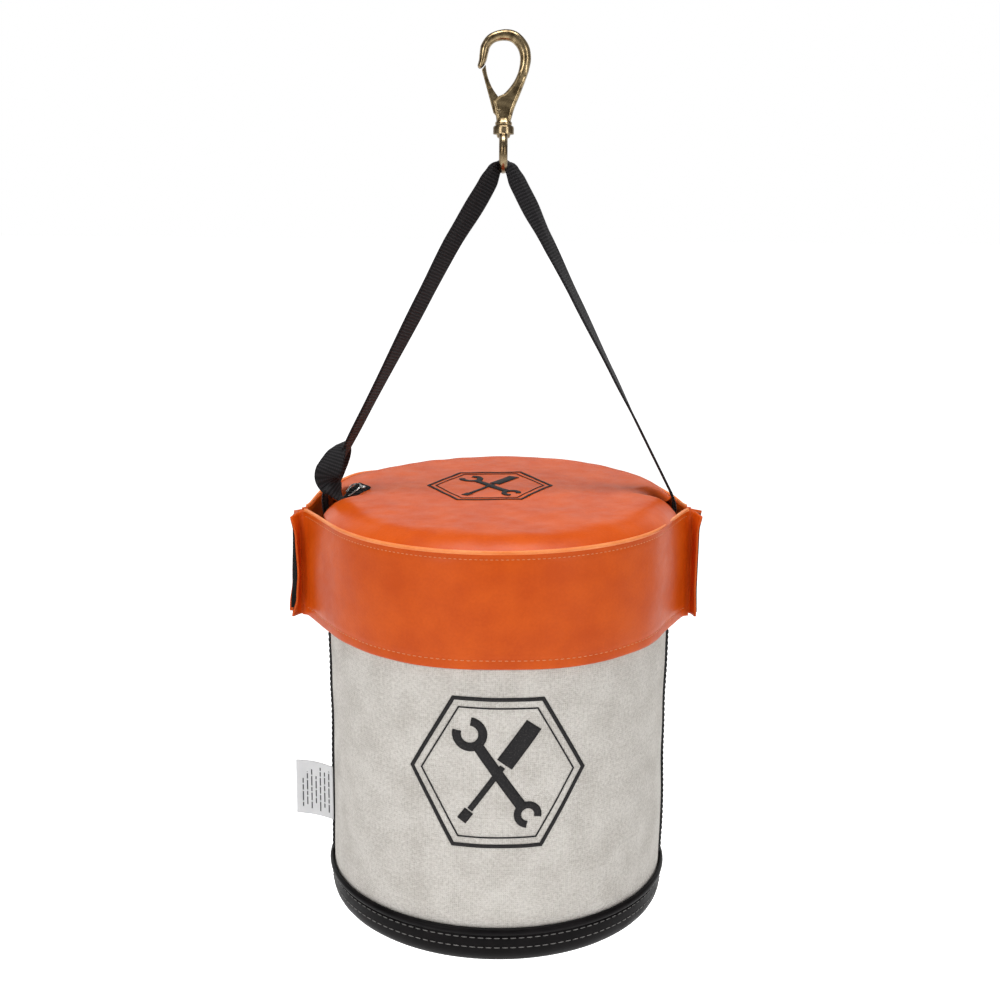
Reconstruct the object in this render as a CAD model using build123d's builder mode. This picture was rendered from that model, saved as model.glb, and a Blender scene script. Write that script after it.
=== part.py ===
"""Tool bucket with a vinyl lid, hanging from a swivel snap hook by a webbing strap.

Millimetres, +Z up. The origin is the hook's bearing point: the inside of the top of its bow,
on the swivel axis. X runs across the two strap legs, and -Y is the front of the bucket.
"""
from build123d import *
from math import atan, cos, sin, sqrt
import os

os.makedirs("parts", exist_ok=True)

# ---------------------------------------------------------------- driving dimensions
BASE_Z = -660.0          # underside of the base
CANVAS_R = 131.5         # outside of the canvas wall
CANVAS_T = 2.0
CANVAS_TOP = 305.0       # height of the canvas rim above the underside
BAND_TOP = 31.0          # height of the moulded base band
PIPING_H = 6.0
PIPING_BULGE = 3.7
CUP_T = 1.4
CUP_FLOOR = 2.5
CUP_EDGE_R = 14.0
HEM_DEPTH = 28.0
HEM_T = 4.0
HOOP_R = 1.5             # wire radius of the rim hoop
WEB_W = 19.0             # strap webbing
WEB_T = 2.0

LID_R = 136.0            # outside of the lid skirt, front and back
LID_TIP = 150.0          # outside of the skirt at the side seams
LID_T = 2.2
LID_SEAM = 312.0         # height of the lid's edge seam
LID_BOTTOM = 228.0       # height of the skirt's lower edge
CROWN_H = 16.0           # rise of the lid top above its seam, on the swivel axis
CROWN_LEAN = 0.05        # slope of the lid top up towards the back
CROWN_TAPER = 40.0       # lean of the crown's bevelled edge, from vertical
CROWN_ROUND = 6.0        # rounding between that edge and the top
WELT_T = 1.8
WELT_H = 3.2
LID_NOTCH_X = 120.5      # inner end of the strap notch in the lid top
LID_NOTCH_Y = 18.0       # half its width
FLANGE_W = 12.0          # closure flange that stands out from the side seam
FLANGE_GAP = 2.3         # from the XZ plane to the flange's inner face
TAPE_T = 2.0             # hook-and-loop tape
TAPE_INSET = 3.0

HOOK_T = 8.4             # thickness of the hook casting along Y
HOOK_ROUND = 1.7         # rounding of the casting's edges
PANEL_DEPTH = 0.8        # sunk panel on both faces of the lower web
FLANGE_TOP, FLANGE_BOTTOM = -56.8, -58.6
FLANGE_R = 6.1
BOSS_H = 2.6             # round boss above the flange that houses the stud's head
LATCH_PIVOT = (-3.2, -49.6)
LATCH_SLOT = 3.4         # slot between the web's cheeks
LATCH_ROOT_T = 3.2
LATCH_HEAD_T = 6.6
LATCH_ROOT_R = 3.9
PIN_R = 1.2
PIN_HEAD_R = 1.5
SPRING_R = 2.3           # outside of the latch spring's coils
SPRING_HALF = 0.9        # half their length along the pin
COLLAR_TOP, COLLAR_BOTTOM = -59.4, -65.8
COLLAR_R = 7.6
EYE_RING_R = 12.2        # centre line of the eye ring
EYE_WIRE_R = 3.15
EYE_CENTRE_Z = -78.3
STUD_R = 3.0
STUD_HEAD_R = 4.3
STUD_HEAD_H = 1.6
STUD_SEAT = 1.8          # height of the head's seat above the flange's underside
RIVET_R = 5.2            # domed lower end of the stud, under the collar
RUNNING = 0.05           # radial clearance of the swivel and latch bearings

STRAP_SLOPE = 0.518           # inward run of a leg for each unit of rise
STRAP_BEND_R = 6.0            # centre-line radius of the strap over the eye
STRAP_APEX_W = 10.0           # width of the strap where it is folded through the eye
TIP_AXIS_Z = BASE_Z + 307.0   # the bucket tips about X at this height

TAG_W, TAG_H, TAG_T = 30.0, 45.5, 0.8
TAG_Z = 57.0
TAG_GAP = 0.3            # clearance from the canvas and from the webbing's front edge


def above_base(height):
    """The Z of a height measured from the underside of the base."""
    return BASE_Z + height


def save(part, name):
    """Label a finished piece and write its STEP file."""
    part.label = name
    export_step(part, f"parts/{name}.step")


def ring(name, r_in, r_out, low, high):
    """A plain round tube about the swivel axis."""
    with BuildPart() as tube:
        with BuildSketch(Plane.XY.offset(low)):
            Circle(r_out)
            Circle(r_in, mode=Mode.SUBTRACT)
        extrude(amount=high - low)
    save(tube.part, name)


def disc(name, radius, low, high):
    """A plain round plate about the swivel axis."""
    with BuildPart() as plate:
        with BuildSketch(Plane.XY.offset(low)):
            Circle(radius)
        extrude(amount=high - low)
    save(plate.part, name)


# ---------------------------------------------------------------- swivel snap hook
with BuildPart() as hook_body:
    with BuildSketch(Plane.XZ):
        with BuildLine():
            outer = Spline((4.8, FLANGE_TOP + 0.5), (8.2, -46.0), (12.9, -34.9), (18.0, -20.5), (19.4, -8.5),
                           (12.8, 3.6), (0.2, 7.9), (-12.4, 3.2), (-17.7, -8.0), (-18.1, -13.0),
                           (-19.3, -17.0), tangents=[(0.25, 1), (-0.25, -1)])
            nose_end = ThreePointArc(outer @ 1, (-18.9, -19.4), (-17.0, -19.7))
            nose_face = Line(nose_end @ 1, (-13.4, -16.0))
            inner = Spline(nose_face @ 1, (-12.0, -11.5), (-11.0, -6.2), (-7.5, -1.9), (0.0, 0.0),
                           (7.6, -2.6), (11.4, -10.0), (10.6, -19.8), (6.5, -29.4), (0.0, -36.9),
                           (-4.1, -38.9))
            web_corner = Line(inner @ 1, (-7.7, -42.2))
            shank_left = Line(web_corner @ 1, (-4.8, FLANGE_TOP + 0.5))
            Line(shank_left @ 1, outer @ 0)
        make_face()
    extrude(amount=HOOK_T / 2, both=True)
    fillet(hook_body.edges().filter_by(lambda e: abs(abs(e.center().Y) - HOOK_T / 2) < 0.01), HOOK_ROUND)
    for face in (1, -1):
        with BuildSketch(Plane.XZ.offset(face * (HOOK_T / 2 - PANEL_DEPTH))):
            Polygon((-3.7, -54.0), (-6.6, -43.0), (-3.6, -40.9), (0.8, -38.7), (7.4, -31.2), (11.6, -22.0),
                    (14.2, -22.0), (12.6, -29.5), (6.4, -46.5), (3.6, -54.0), align=None)
        extrude(amount=face * HOOK_T, mode=Mode.SUBTRACT)
    with BuildSketch(Plane.XY.offset(FLANGE_BOTTOM)):
        Circle(FLANGE_R)
    extrude(amount=FLANGE_TOP - FLANGE_BOTTOM)
    with BuildSketch(Plane.XY.offset(FLANGE_TOP)):
        Circle(STUD_HEAD_R + 1.2)
    extrude(amount=BOSS_H)
    with BuildSketch(Plane.XY.offset(FLANGE_BOTTOM)):
        Circle(STUD_R + RUNNING)
    extrude(amount=STUD_SEAT, mode=Mode.SUBTRACT)
    with BuildSketch(Plane.XY.offset(FLANGE_BOTTOM + STUD_SEAT - RUNNING)):
        Circle(STUD_HEAD_R + RUNNING)
    extrude(amount=STUD_HEAD_H + 4 * RUNNING, mode=Mode.SUBTRACT)
    # the slot that the latch's root turns in, open at the left and into the throat
    with BuildSketch(Plane.XZ):
        Polygon((-14.0, -53.9), (0.6, -53.9), (1.6, -46.0), (6.0, -31.0), (6.0, -26.0), (-14.0, -26.0),
                align=None)
    extrude(amount=LATCH_SLOT / 2, both=True, mode=Mode.SUBTRACT)
    with BuildSketch(Plane.XZ):
        with Locations(LATCH_PIVOT):
            Circle(PIN_R)
    extrude(amount=HOOK_T, both=True, mode=Mode.SUBTRACT)
save(hook_body.part, "hook_body")

PANEL_Y = HOOK_T / 2 - PANEL_DEPTH
with BuildPart() as latch_pin:
    with BuildSketch(Plane.XZ):
        with Locations(LATCH_PIVOT):
            Circle(PIN_R)
    extrude(amount=PANEL_Y, both=True)
    for face in (1, -1):
        with BuildSketch(Plane.XZ.offset(face * PANEL_Y)):
            with Locations(LATCH_PIVOT):
                Circle(PIN_HEAD_R)
        extrude(amount=face * 0.6)
    fillet(latch_pin.edges().group_by(Axis.Y)[0] + latch_pin.edges().group_by(Axis.Y)[-1], 0.4)
save(latch_pin.part, "latch_pin")

# The torsion spring's coils, closed up solid, sit round the pin in a pocket in the latch's root.
with BuildPart() as latch_spring:
    with BuildSketch(Plane.XZ):
        with Locations(LATCH_PIVOT):
            Circle(SPRING_R)
            Circle(PIN_R + 0.2, mode=Mode.SUBTRACT)
    extrude(amount=SPRING_HALF, both=True)
save(latch_spring.part, "latch_spring")

with BuildPart() as latch:
    with BuildSketch(Plane.XZ):
        with BuildLine():
            outer_edge = Line((-7.4, -51.0), (-16.2, -20.4))
            tip = Line(outer_edge @ 1, (-13.3, -17.1))
            inner_edge = Spline(tip @ 1, (-12.0, -24.6), (-9.1, -31.8), (-4.4, -38.6))
            Polyline(inner_edge @ 1, (0.0, -49.0), outer_edge @ 0)
        make_face()
        with Locations(LATCH_PIVOT):
            Circle(LATCH_ROOT_R)
    extrude(amount=LATCH_ROOT_T / 2, both=True)
    # above the web the blade widens to the hook's own thickness
    with BuildSketch(Plane.XZ):
        with BuildLine():
            head_out = Line((-12.35, -33.8), (-16.2, -20.4))
            head_tip = Line(head_out @ 1, (-13.3, -17.1))
            head_in = Spline(head_tip @ 1, (-12.0, -24.6), (-9.1, -31.8))
            Line(head_in @ 1, head_out @ 0)
        make_face()
    extrude(amount=LATCH_HEAD_T / 2, both=True)
    with BuildSketch(Plane.XZ):
        with Locations(LATCH_PIVOT):
            Circle(PIN_R + RUNNING)
    extrude(amount=HOOK_T, both=True, mode=Mode.SUBTRACT)
    with BuildSketch(Plane.XZ):
        with Locations(LATCH_PIVOT):
            Circle(SPRING_R + 0.3)
    extrude(amount=SPRING_HALF + 0.15, both=True, mode=Mode.SUBTRACT)
save(latch.part, "latch")

# ---------------------------------------------------------------- swivel
with BuildPart() as swivel_eye:
    with BuildSketch(Plane.XY.offset(COLLAR_BOTTOM)):
        Circle(COLLAR_R)
    extrude(amount=COLLAR_TOP - COLLAR_BOTTOM)
    fillet(swivel_eye.edges().group_by(Axis.Z)[-1], 1.6)
    with Locations((0, 0, EYE_CENTRE_Z)):
        Torus(EYE_RING_R, EYE_WIRE_R, rotation=(0, 90, 0))
    with BuildSketch(Plane.XY.offset(COLLAR_BOTTOM)):
        Circle(STUD_R)
    extrude(amount=COLLAR_TOP - COLLAR_BOTTOM, mode=Mode.SUBTRACT)
    with BuildSketch(Plane.XY.offset(COLLAR_BOTTOM)):
        Circle(RIVET_R)
    extrude(amount=-5.0, mode=Mode.SUBTRACT)
save(swivel_eye.part, "swivel_eye")

with BuildPart() as swivel_stud:
    with BuildSketch(Plane.XZ):
        with BuildLine():
            head_low = FLANGE_BOTTOM + STUD_SEAT
            head_high = head_low + STUD_HEAD_H
            Polyline((0, head_high), (STUD_HEAD_R, head_high), (STUD_HEAD_R, head_low),
                     (STUD_R, head_low), (STUD_R, COLLAR_BOTTOM), (RIVET_R, COLLAR_BOTTOM),
                     (4.6, COLLAR_BOTTOM - 2.0), (3.0, COLLAR_BOTTOM - 3.0), (0, COLLAR_BOTTOM - 3.2),
                     (0, head_high))
        make_face()
    revolve(axis=Axis.Z)
save(swivel_stud.part, "swivel_stud")

# ---------------------------------------------------------------- strap
EYE_BAR_Z = EYE_CENTRE_Z - EYE_RING_R
LEG_ANGLE = atan(STRAP_SLOPE)
BEND_END = (STRAP_BEND_R * cos(LEG_ANGLE), EYE_BAR_Z + STRAP_BEND_R * sin(LEG_ANGLE))
NECK_DROP = 16.0         # the strap opens out to its full width below the eye
NECK_Z = BEND_END[1] - NECK_DROP
SHOULDER_Z = NECK_Z - NECK_DROP
LAP_X = CANVAS_R + WEB_T + 0.6 + WEB_T / 2    # the strap's end laps the side webbing


def leg_point(height, offset=0.0):
    """A point on the right leg's centre line, or set off square to it, in the XZ plane."""
    x = BEND_END[0] + (BEND_END[1] - height) * STRAP_SLOPE
    return x + offset * cos(LEG_ANGLE), height + offset * sin(LEG_ANGLE)


LAP_TOP_Z = BEND_END[1] - (LAP_X - BEND_END[0]) / STRAP_SLOPE


with BuildPart() as strap_loop:
    half = WEB_T / 2
    with BuildSketch(Plane.XZ):
        with Locations((0, EYE_BAR_Z)):
            Circle(STRAP_BEND_R + half)
            Circle(STRAP_BEND_R - half, mode=Mode.SUBTRACT)
        with BuildLine():
            far = (40 * cos(LEG_ANGLE), EYE_BAR_Z + 40 * sin(LEG_ANGLE))
            Polyline((0, EYE_BAR_Z), far, (far[0], EYE_BAR_Z - 40), (-far[0], EYE_BAR_Z - 40),
                     (-far[0], far[1]), (0, EYE_BAR_Z))
        make_face(mode=Mode.SUBTRACT)
        for side in (1, -1):
            corners = [leg_point(BEND_END[1], -half), leg_point(BEND_END[1], half),
                       leg_point(LAP_TOP_Z, half), (LAP_X + half, TIP_AXIS_Z),
                       (LAP_X - half, TIP_AXIS_Z), leg_point(LAP_TOP_Z, -half)]
            with BuildLine():
                Polyline(*[(side * x, z) for x, z in corners], close=True)
            make_face()
    extrude(amount=WEB_W / 2, both=True)
    for side in (1, -1):
        with BuildSketch(Plane.YZ.offset(side * LAP_X)):
            with Locations((0, TIP_AXIS_Z)):
                Circle(WEB_W / 2)
        extrude(amount=half, both=True)
    with BuildSketch(Plane.YZ):
        for side in (1, -1):
            with BuildLine():
                Polyline((side * STRAP_APEX_W / 2, 0), (side * STRAP_APEX_W / 2, NECK_Z),
                         (side * WEB_W / 2, SHOULDER_Z), (side * WEB_W, SHOULDER_Z), (side * WEB_W, 0),
                         close=True)
            make_face()
    extrude(amount=60, both=True, mode=Mode.SUBTRACT)
save(strap_loop.part, "strap_loop")

TETHER_T = 1.6
TETHER_GAP = 0.5
tether_x, tether_z = leg_point(above_base(356.0))
TETHER_PLANE = Plane(origin=(-tether_x, 0, tether_z), x_dir=(-cos(LEG_ANGLE), 0, sin(LEG_ANGLE)),
                     z_dir=(sin(LEG_ANGLE), 0, cos(LEG_ANGLE)))
with BuildPart() as tether_loop:
    with BuildSketch(TETHER_PLANE):
        RectangleRounded(WEB_T + 2 * TETHER_GAP + 2 * TETHER_T, WEB_W + 2 * TETHER_GAP + 2 * TETHER_T, 1.4)
        Rectangle(WEB_T + 2 * TETHER_GAP, WEB_W + 2 * TETHER_GAP, mode=Mode.SUBTRACT)
    extrude(amount=WEB_W / 2, both=True)
save(tether_loop.part, "tether_loop")

# ---------------------------------------------------------------- bucket
BOARD_TOP = CUP_EDGE_R + 0.5
with BuildPart() as cup_hollow:
    with BuildSketch(Plane.XY.offset(above_base(CUP_FLOOR))):
        Circle(CANVAS_R)
    extrude(amount=BAND_TOP)
    fillet(cup_hollow.edges().group_by(Axis.Z)[0], CUP_EDGE_R - CUP_T)

with BuildPart() as base_cup:
    with BuildSketch(Plane.XZ):
        with Locations((0, BASE_Z)):
            Rectangle(CANVAS_R + CUP_T, BAND_TOP - PIPING_H, align=(Align.MIN, Align.MIN))
    revolve(axis=Axis.Z)
    fillet(base_cup.edges().group_by(Axis.Z)[0], CUP_EDGE_R)
    add(cup_hollow.part, mode=Mode.SUBTRACT)
save(base_cup.part, "base_cup")

with BuildPart() as base_piping:
    with BuildSketch(Plane.XZ):
        with Locations((CANVAS_R, above_base(BAND_TOP - PIPING_H))):
            RectangleRounded(PIPING_BULGE, PIPING_H, 1.5, align=(Align.MIN, Align.MIN))
    revolve(axis=Axis.Z)
save(base_piping.part, "base_piping")

disc("base_board", CANVAS_R - CUP_EDGE_R + 2.0, above_base(CUP_FLOOR), above_base(BOARD_TOP))
disc("canvas_bottom", CANVAS_R - CANVAS_T, above_base(BOARD_TOP), above_base(BOARD_TOP + CANVAS_T))
ring("canvas_wall", CANVAS_R - CANVAS_T, CANVAS_R, above_base(BOARD_TOP), above_base(CANVAS_TOP))

HOOP_POCKET = (CANVAS_R - CANVAS_T - HEM_T / 2, above_base(CANVAS_TOP - 4.0))
with BuildPart() as rim_hem:
    with BuildSketch(Plane.XZ):
        with Locations((CANVAS_R - CANVAS_T, above_base(CANVAS_TOP))):
            Rectangle(HEM_T, HEM_DEPTH, align=(Align.MAX, Align.MAX))
        with Locations(HOOP_POCKET):
            Circle(HOOP_R + 0.1, mode=Mode.SUBTRACT)
    revolve(axis=Axis.Z)
save(rim_hem.part, "rim_hem")

with BuildPart() as rim_hoop:
    with BuildSketch(Plane.XZ):
        with Locations(HOOP_POCKET):
            Circle(HOOP_R)
    revolve(axis=Axis.Z)
save(rim_hoop.part, "rim_hoop")

for side, name in ((1, "right"), (-1, "left")):
    with BuildPart() as side_webbing:
        with BuildSketch(Plane.XY.offset(above_base(BAND_TOP))):
            Circle(CANVAS_R + WEB_T)
            Circle(CANVAS_R, mode=Mode.SUBTRACT)
            with Locations((side * CANVAS_R, 0)):
                Rectangle(CANVAS_R, WEB_W, mode=Mode.INTERSECT)
        extrude(amount=CANVAS_TOP - 3.0 - BAND_TOP)
    save(side_webbing.part, f"side_webbing_{name}")

TAG_ROOT_X = CANVAS_R + TAG_GAP
TAG_Y = -(WEB_W / 2 + TAG_GAP + TAG_T / 2)
with BuildPart() as care_tag:
    with BuildSketch(Plane.XY.offset(above_base(TAG_Z))):
        with Locations((-TAG_ROOT_X, TAG_Y)):
            Rectangle(TAG_W, TAG_T, align=(Align.MAX, Align.CENTER))
    extrude(amount=TAG_H)
save(care_tag.part, "care_tag")

# ---------------------------------------------------------------- lid
CROWN_Z = above_base(LID_SEAM + CROWN_H)
CROWN_PLANE = Plane(origin=(0, 0, CROWN_Z), x_dir=(1, 0, 0), z_dir=(0, -CROWN_LEAN, 1))


def lid_outline(radius, mode=Mode.ADD):
    """The skirt in plan: a circle drawn out to a tip at each side seam."""
    tip = radius * LID_TIP / LID_R
    tangent_x = radius * LID_R / LID_TIP
    tangent_y = sqrt(radius**2 - tangent_x**2)
    Circle(radius, mode=mode)
    for side in (1, -1):
        Polygon((side * tip, 0), (side * tangent_x, tangent_y), (side * tangent_x, -tangent_y),
                align=None, mode=mode)


def crown_solid(inset):
    """The block that the lid top fills, or its inside when set in by a thickness."""
    with BuildPart() as block:
        with BuildSketch(Plane.XY.offset(above_base(LID_SEAM))):
            Circle(LID_R - inset)
        extrude(amount=CROWN_H + 10, taper=CROWN_TAPER)
        split(bisect_by=CROWN_PLANE.offset(-inset), keep=Keep.BOTTOM)
        fillet(block.edges().sort_by(Axis.Z)[-1], CROWN_ROUND - inset)
    return block.part


outer_crown = crown_solid(0.0)
inner_crown = crown_solid(LID_T)
SNAP_X = -(LID_NOTCH_X - 9.0)
SNAP_R = 2.0
TAB_L = 16.0

with BuildPart() as lid_top:
    add(outer_crown)
    add(inner_crown, mode=Mode.SUBTRACT)
    for side in (1, -1):
        with BuildSketch(Plane.XY.offset(above_base(LID_SEAM - 1))):
            with Locations((side * LID_NOTCH_X, 0)):
                Rectangle(80, 2 * LID_NOTCH_Y, align=(Align.MIN if side > 0 else Align.MAX, Align.CENTER))
        extrude(amount=CROWN_H + 10, mode=Mode.SUBTRACT)
    with BuildSketch(Plane.XY.offset(above_base(LID_SEAM))):
        with Locations((SNAP_X, 0)):
            Circle(SNAP_R + 0.1)
    extrude(amount=CROWN_H + 10, mode=Mode.SUBTRACT)
save(lid_top.part, "lid_top")

with BuildPart() as lid_welt:
    with BuildSketch(Plane.XY.offset(above_base(LID_SEAM) - WELT_H / 2)):
        lid_outline(LID_R + WELT_T)
        lid_outline(LID_R, mode=Mode.SUBTRACT)
        for side in (1, -1):
            with Locations((side * LID_TIP, 0)):
                Rectangle(20, 2 * (FLANGE_GAP + LID_T + 1.0), mode=Mode.SUBTRACT)
    extrude(amount=WELT_H)
    fillet(lid_welt.edges().group_by(Axis.Z)[-1].sort_by(Edge.length)[-2:], 0.8)
save(lid_welt.part, "lid_welt")

for side, name in ((-1, "front"), (1, "back")):
    with BuildPart() as skirt:
        with BuildSketch(Plane.XY.offset(above_base(LID_BOTTOM))):
            lid_outline(LID_R)
            lid_outline(LID_R - LID_T, mode=Mode.SUBTRACT)
            with Locations((0, side * FLANGE_GAP)):
                Rectangle(400, 200, align=(Align.CENTER, Align.MIN if side > 0 else Align.MAX),
                          mode=Mode.INTERSECT)
        extrude(amount=LID_SEAM - LID_BOTTOM)
    save(skirt.part, f"lid_skirt_{name}")

FLAP_PIVOT_X = LID_TIP + 0.4 + LID_T / 2
FLANGE_H = LID_SEAM - LID_BOTTOM - 2.0
for side, side_name in ((-1, "left"), (1, "right")):
    outward = Align.MIN if side > 0 else Align.MAX
    for face, face_name in ((-1, "front"), (1, "back")):
        with BuildPart() as flange:
            with BuildSketch(Plane.XY.offset(above_base(LID_BOTTOM))):
                with Locations((side * FLAP_PIVOT_X, face * (FLANGE_GAP + LID_T / 2))):
                    Rectangle(FLANGE_W - LID_T / 2, LID_T, align=(outward, Align.CENTER))
                    Circle(LID_T / 2)
            extrude(amount=FLANGE_H)
        save(flange.part, f"flange_{face_name}_{side_name}")
        with BuildPart() as tape:
            with BuildSketch(Plane.XY.offset(above_base(LID_BOTTOM + TAPE_INSET))):
                with Locations((side * (FLAP_PIVOT_X + 1.5), face * FLANGE_GAP)):
                    Rectangle(FLANGE_W - 4.0, TAPE_T,
                              align=(outward, Align.MAX if face > 0 else Align.MIN))
            extrude(amount=FLANGE_H - 2 * TAPE_INSET)
        save(tape.part, f"closure_tape_{face_name}_{side_name}")

# The tether's tab lies on the crown and is riveted through it.
with BuildPart() as tether_tab:
    with BuildSketch(CROWN_PLANE):
        with Locations((SNAP_X, 0)):
            RectangleRounded(TAB_L, WEB_W, 3.0)
            Circle(SNAP_R + 0.1, mode=Mode.SUBTRACT)
    extrude(amount=TETHER_T)
save(tether_tab.part, "tether_tab")

with BuildPart() as tether_snap:
    with BuildSketch(Plane.XZ):
        with BuildLine():
            Polyline((0, -4.0), (SNAP_R, -4.0), (SNAP_R, 2.4), (5.0, 2.4), (4.6, 3.4), (3.0, 4.0), (0, 4.2),
                     close=True)
        make_face()
    revolve(axis=Axis.Z)
save(tether_snap.part.moved(Location((SNAP_X, 0, CROWN_Z))), "tether_snap")
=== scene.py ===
"""Looks for the tool bucket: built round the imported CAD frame, in metres, +Z up, -Y front.

Shapes are worked out in millimetres, as (x, y, height above the underside of the base).
"""

from math import asin, atan, atan2, ceil, cos, exp, hypot, pi, radians, sin, sqrt

import bmesh
import bpy
from mathutils import Matrix, Vector, noise


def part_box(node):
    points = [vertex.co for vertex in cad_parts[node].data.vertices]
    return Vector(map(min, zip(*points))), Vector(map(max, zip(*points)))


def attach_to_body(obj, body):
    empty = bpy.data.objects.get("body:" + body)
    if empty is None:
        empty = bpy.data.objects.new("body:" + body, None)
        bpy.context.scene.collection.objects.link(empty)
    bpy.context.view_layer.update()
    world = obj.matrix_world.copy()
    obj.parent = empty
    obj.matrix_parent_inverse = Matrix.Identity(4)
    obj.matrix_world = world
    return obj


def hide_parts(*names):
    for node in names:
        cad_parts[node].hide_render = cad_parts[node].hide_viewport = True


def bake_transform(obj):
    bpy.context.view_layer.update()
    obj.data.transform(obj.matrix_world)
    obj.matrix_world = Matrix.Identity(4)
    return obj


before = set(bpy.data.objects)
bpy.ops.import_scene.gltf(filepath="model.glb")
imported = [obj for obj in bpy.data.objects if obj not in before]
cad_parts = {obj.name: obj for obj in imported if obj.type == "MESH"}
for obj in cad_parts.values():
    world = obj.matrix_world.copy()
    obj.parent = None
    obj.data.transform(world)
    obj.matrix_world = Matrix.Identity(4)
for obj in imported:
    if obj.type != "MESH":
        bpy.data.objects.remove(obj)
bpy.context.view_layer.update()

MM = 0.001
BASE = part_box("base_cup")[0].z / MM          # everything below is measured up from here


def corner(name, which):
    """A CAD node's lowest (0) or highest (1) corner in millimetres, with its height above the base."""
    x, y, z = Vector(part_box(name)[which]) / MM
    return Vector((x, y, z - BASE))


def low(name):
    return corner(name, 0)


def high(name):
    return corner(name, 1)


def metres_up(height):
    """A height above the base, as the frame's own Z."""
    return (height + BASE) * MM


# ---------------------------------------------------------------- sizes taken from the frame
CANVAS_R = high("canvas_wall").x
CANVAS_T = 2.0
CANVAS_LOW = low("canvas_wall").z
CANVAS_HIGH = high("canvas_wall").z
BAND_TOP = high("base_piping").z
BAND_R = high("base_cup").x
PIPING_R = high("base_piping").x
LID_R = high("lid_top").y
LID_T = 2.2
LID_SEAM = high("lid_skirt_front").z
SKIRT_DROP = LID_SEAM - low("lid_skirt_front").z
PLAN_R, PLAN_TIP = 136.0, 150.0              # the lid's radius and its side tips', as they were drawn
LID_TIP = LID_R * PLAN_TIP / PLAN_R
TIP_ANGLE = radians(24.95)                   # where the skirt leaves the circle for its side tip
WEB_W = high("strap_loop").y * 2
WEB_T = 2.0
STRAP_X = high("strap_loop").x - WEB_T / 2
STRAP_TOP = high("strap_loop").z


def attach(piece, body, slot, *nodes):
    """Rides a piece on a body. slot is not used, and nodes are the CAD nodes it stands for."""
    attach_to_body(piece, body)
    if nodes:
        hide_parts(*nodes)


def attach_across(piece, ends, node):
    """Bakes a strip of webbing's placing into its mesh and hides its CAD node. ends is not used."""
    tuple(ends[0])
    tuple(ends[1])
    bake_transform(piece)
    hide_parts(node)


# ---------------------------------------------------------------- points and paths
def spread(start, end, steps):
    """Evenly spaced values from start to end, both included."""
    return [start + (end - start) * k / steps for k in range(steps + 1)]


def heading(path, i):
    """The way a path runs at its point i, from the points beside it."""
    return path[min(i + 1, len(path) - 1)] - path[max(i - 1, 0)]


def bend_point(start, turn_at, end, t):
    """A point on the smooth bend between two straight stretches that would meet at turn_at."""
    return start * (1 - t) ** 2 + turn_at * 2 * t * (1 - t) + end * t * t


# ---------------------------------------------------------------- mesh helpers
def finish_mesh(name, verts, faces, corner_uvs, material, sharp=False):
    """An object from millimetre points, with UVs in millimetres for each face corner."""
    mesh = bpy.data.meshes.new(name)
    mesh.from_pydata([(x * MM, y * MM, metres_up(h)) for x, y, h in verts], [], faces)
    layer = mesh.uv_layers.new(name="UVMap")
    index = 0
    for face_uvs in corner_uvs:
        for uv in face_uvs:
            layer.data[index].uv = uv
            index += 1
    shape = bmesh.new()
    shape.from_mesh(mesh)
    bmesh.ops.recalc_face_normals(shape, faces=shape.faces)
    for face in shape.faces:
        face.smooth = not sharp
    shape.to_mesh(mesh)
    shape.free()
    mesh.materials.append(material)
    piece = bpy.data.objects.new(name, mesh)
    bpy.context.scene.collection.objects.link(piece)
    return piece


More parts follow.
